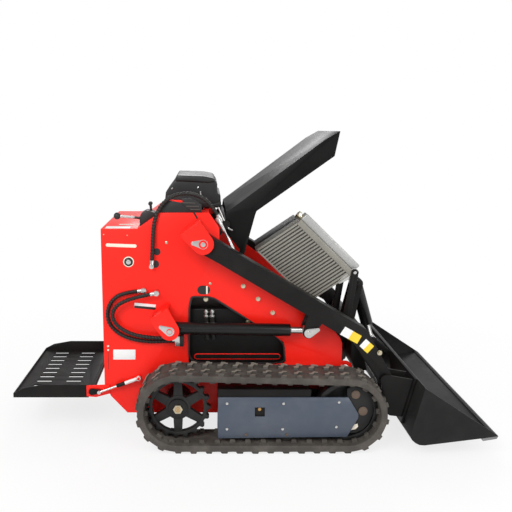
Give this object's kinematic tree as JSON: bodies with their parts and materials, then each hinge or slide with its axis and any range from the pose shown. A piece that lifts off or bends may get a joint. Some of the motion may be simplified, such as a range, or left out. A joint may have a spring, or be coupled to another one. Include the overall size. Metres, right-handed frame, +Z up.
{
  "type": "mini skid steer loader",
  "caption": "Compact stand-on tracked loader with lift arms, front bucket, folding rear platform, and hood and cooler open for service.",
  "frame": {"origin": "centre of the ground footprint of the bounding box, on the ground", "axes": "+X forward to the bucket, +Y to the operator's left, +Z up"},
  "size_m": [2.324, 1.14, 1.505],
  "materials": {
    "red_paint": "gloss",
    "black_paint": "satin",
    "bucket_paint": "satin",
    "cover_paint": "satin",
    "track_rubber": "matte",
    "cast_black": "satin",
    "bright_steel": "satin",
    "strut_paint": "satin",
    "engine_grey": "matte",
    "black_plastic": "matte",
    "cooler_aluminium": "satin",
    "hose_rubber": "matte"
  },
  "bodies": {
    "chassis": {"air_cleaner": "black_plastic", "arm_bracket_left": "red_paint", "arm_bracket_right": "red_paint", "belly_plate": "black_paint", "console_top": "red_paint", "control_levers": "black_plastic", "cooler_bracket": "black_paint", "engine_block": "engine_grey", "engine_rails": "black_paint", "front_plate": "red_paint", "hood_hinges": "black_paint", "hose_fittings": "bright_steel", "hose_inner_loop": "hose_rubber", "hose_outer_loop": "hose_rubber", "hose_over_top": "hose_rubber", "idler_left": "cast_black", "idler_right": "cast_black", "lift_bracket_left": "red_paint", "lift_bracket_right": "red_paint", "oil_tank": "black_paint", "platform_brackets": "red_paint", "rear_panel": "red_paint", "rollers_left": "cast_black", "rollers_right": "cast_black", "side_plate_left": "red_paint", "side_plate_right": "red_paint", "sprocket_left": "cast_black", "sprocket_right": "cast_black", "top_deck": "red_paint", "track_cover_left": "cover_paint", "track_cover_right": "cover_paint", "track_frame_left": "black_paint", "track_frame_right": "black_paint", "track_left": "track_rubber", "track_right": "track_rubber"},
    "arms": {"arm_cross_tube": "black_paint", "arm_left": "black_paint", "arm_right": "black_paint", "tilt_tower": "black_paint"},
    "bucket": {"bucket_shell": "bucket_paint", "cutting_edge": "bucket_paint", "quick_attach_plate": "black_paint"},
    "cooler": {"cooler_core": "cooler_aluminium", "cooler_ears": "bright_steel", "cooler_tank": "cooler_aluminium", "fan_shroud": "black_plastic"},
    "hood": {"hood_shell": "black_paint"},
    "hood_stay": {"hood_stay": "black_paint"},
    "lift_barrel_left": {"lift_barrel_left": "black_paint"},
    "lift_barrel_right": {"lift_barrel_right": "black_paint"},
    "lift_rod_left": {"lift_rod_left": "bright_steel"},
    "lift_rod_right": {"lift_rod_right": "bright_steel"},
    "platform": {"platform_deck": "black_paint"},
    "platform_strut_barrel": {"platform_strut_barrel": "strut_paint"},
    "platform_strut_rod": {"platform_strut_rod": "bright_steel"},
    "tilt_barrel": {"tilt_barrel": "black_paint"},
    "tilt_rod": {"tilt_rod": "bright_steel"}
  },
  "joints": [
    {"name": "arms_lift", "type": "hinge", "parent": "chassis", "child": "arms", "pos_m": [-0.214, 0, 0.988], "axis": [0, -1, 0], "range_deg": [0, 78]},
    {"name": "lift_barrel_swing_right", "type": "hinge", "parent": "chassis", "child": "lift_barrel_right", "pos_m": [-0.373, -0.385, 0.569], "axis": [0, -1, 0], "range_deg": [0, 51.21]},
    {"name": "lift_rod_slide_right", "type": "slide", "parent": "lift_barrel_right", "child": "lift_rod_right", "axis": [0.9998, 0, -0.0181], "range_m": [0, 0.40755]},
    {"name": "lift_barrel_swing_left", "type": "hinge", "parent": "chassis", "child": "lift_barrel_left", "pos_m": [-0.373, 0.385, 0.569], "axis": [0, -1, 0], "range_deg": [0, 51.21]},
    {"name": "lift_rod_slide_left", "type": "slide", "parent": "lift_barrel_left", "child": "lift_rod_left", "axis": [0.9998, 0, -0.0181], "range_m": [0, 0.40755]},
    {"name": "bucket_tilt", "type": "hinge", "parent": "arms", "child": "bucket", "pos_m": [0.666, 0, 0.322], "axis": [0, 1, 0], "range_deg": [0, 117]},
    {"name": "tilt_barrel_swing", "type": "hinge", "parent": "arms", "child": "tilt_barrel", "pos_m": [0.606, 0, 0.7], "axis": [0, 1, 0], "range_deg": [0, 3.89]},
    {"name": "tilt_rod_slide", "type": "slide", "parent": "tilt_barrel", "child": "tilt_rod", "axis": [0.2887, 0, -0.9574], "range_m": [0, 0.12011]},
    {"name": "hood_close", "type": "hinge", "parent": "chassis", "child": "hood", "pos_m": [-0.104, 0, 1.065], "axis": [0, 1, 0], "range_deg": [0, 50]},
    {"name": "cooler_close", "type": "hinge", "parent": "chassis", "child": "cooler", "pos_m": [0.542, 0, 0.809], "axis": [0, -1, 0], "range_deg": [0, 25]},
    {"name": "hood_stay_swing", "type": "hinge", "parent": "hood", "child": "hood_stay", "pos_m": [0.033, -0.29, 1.14], "axis": [0, -1, 0], "range_deg": [0, 34.57]},
    {"name": "platform_fold", "type": "hinge", "parent": "chassis", "child": "platform", "pos_m": [-0.767, 0, 0.227], "axis": [0, 1, 0], "range_deg": [0, 90]},
    {"name": "platform_strut_swing", "type": "hinge", "parent": "chassis", "child": "platform_strut_barrel", "pos_m": [-0.533, -0.358, 0.302], "axis": [0, -1, 0], "range_deg": [0, 5.54]},
    {"name": "platform_strut_slide", "type": "slide", "parent": "platform_strut_barrel", "child": "platform_strut_rod", "axis": [-0.9371, 0, -0.349], "range_m": [0, 0.04891]}
  ],
  "couplings": [
    {"joint": "lift_barrel_swing_right", "follows": "arms_lift", "ratio": 0.65648},
    {"joint": "lift_rod_slide_right", "follows": "arms_lift", "m_per_rad": 0.29936},
    {"joint": "lift_barrel_swing_left", "follows": "arms_lift", "ratio": 0.65648},
    {"joint": "lift_rod_slide_left", "follows": "arms_lift", "m_per_rad": 0.29936},
    {"joint": "bucket_tilt", "follows": "arms_lift", "ratio": 1.5},
    {"joint": "tilt_barrel_swing", "follows": "arms_lift", "ratio": 0.049814},
    {"joint": "tilt_rod_slide", "follows": "arms_lift", "m_per_rad": 0.088223},
    {"joint": "cooler_close", "follows": "hood_close", "ratio": 0.5},
    {"joint": "hood_stay_swing", "follows": "hood_close", "ratio": 0.69145},
    {"joint": "platform_strut_swing", "follows": "platform_fold", "ratio": 0.061572},
    {"joint": "platform_strut_slide", "follows": "platform_fold", "m_per_rad": 0.031133}
  ]
}
